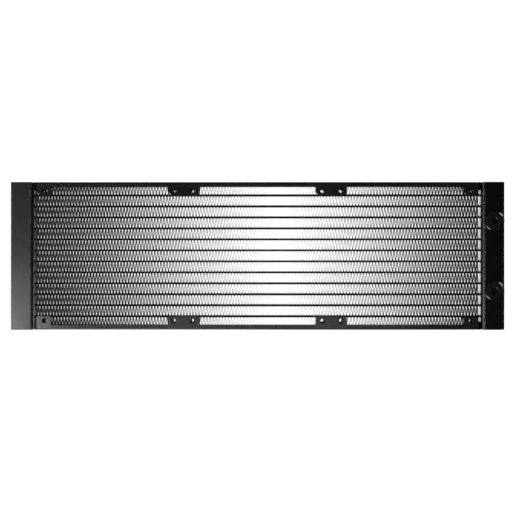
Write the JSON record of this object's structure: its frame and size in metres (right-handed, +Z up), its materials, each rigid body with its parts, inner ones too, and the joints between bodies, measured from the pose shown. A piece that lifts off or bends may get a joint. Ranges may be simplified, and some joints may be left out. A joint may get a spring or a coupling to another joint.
{
  "type": "liquid cooling radiator",
  "caption": "Slim liquid cooling radiator for a row of fans, with flat tubes, corrugated fins, folded side channels and plugged ports on one end tank.",
  "frame": {"origin": "bottom centre of the whole part as it stands on its long edge", "axes": "+X along the length towards the tank with the ports, +Z up, -Y the front, which the ports face"},
  "size_m": [0.4, 0.0286, 0.12],
  "materials": {
    "tank_black": "satin black paint",
    "header_black": "satin black paint",
    "channel_black": "satin black paint on folded sheet",
    "boss_black": "turned, satin black paint",
    "tube_black": "black paint",
    "fin_aluminium": "bare rolled aluminium with thin black overspray on the edges",
    "bare_aluminium": "as brazed",
    "plug_black": "black plated, half gloss",
    "oring_rubber": "moulded black rubber"
  },
  "bodies": {
    "root": {"flat_tube_01": "tube_black", "flat_tube_02": "tube_black", "flat_tube_03": "tube_black", "flat_tube_04": "tube_black", "flat_tube_05": "tube_black", "flat_tube_06": "tube_black", "flat_tube_07": "tube_black", "flat_tube_08": "tube_black", "flat_tube_09": "tube_black", "flat_tube_10": "tube_black", "flat_tube_11": "tube_black", "flat_tube_12": "tube_black", "fin_strip_01": "fin_aluminium", "fin_strip_02": "fin_aluminium", "fin_strip_03": "fin_aluminium", "fin_strip_04": "fin_aluminium", "fin_strip_05": "fin_aluminium", "fin_strip_06": "fin_aluminium", "fin_strip_07": "fin_aluminium", "fin_strip_08": "fin_aluminium", "fin_strip_09": "fin_aluminium", "fin_strip_10": "fin_aluminium", "fin_strip_11": "fin_aluminium", "fin_strip_12": "fin_aluminium", "fin_strip_13": "fin_aluminium", "header_plate_left": "header_black", "header_plate_right": "header_black", "end_tank_left": "tank_black", "end_tank_right": "tank_black", "tank_divider": "bare_aluminium", "side_channel_top": "channel_black", "side_channel_bottom": "channel_black", "port_boss_upper": "boss_black", "port_boss_lower": "boss_black"},
    "upper_oring": {"plug_oring_upper": "oring_rubber"},
    "upper_plug": {"port_plug_upper": "plug_black"},
    "lower_oring": {"plug_oring_lower": "oring_rubber"},
    "lower_plug": {"port_plug_lower": "plug_black"}
  },
  "joints": [
    {"name": "upper_plug_travel", "type": "slide", "parent": "root", "child": "upper_oring", "axis": [0, -1, 0], "range_m": [0, 0.00802]},
    {"name": "upper_plug_turn", "type": "hinge", "parent": "upper_oring", "child": "upper_plug", "pos_m": [0.192, -0.014, 0.08825], "axis": [0, -1, 0], "range_deg": [0, 2160]},
    {"name": "lower_plug_travel", "type": "slide", "parent": "root", "child": "lower_oring", "axis": [0, -1, 0], "range_m": [0, 0.00802]},
    {"name": "lower_plug_turn", "type": "hinge", "parent": "lower_oring", "child": "lower_plug", "pos_m": [0.192, -0.014, 0.03175], "axis": [0, -1, 0], "range_deg": [0, 2160]}
  ],
  "couplings": [
    {"joint": "upper_plug_turn", "follows": "upper_plug_travel", "rad_per_m": 4699.5},
    {"joint": "lower_plug_turn", "follows": "lower_plug_travel", "rad_per_m": 4699.5}
  ]
}
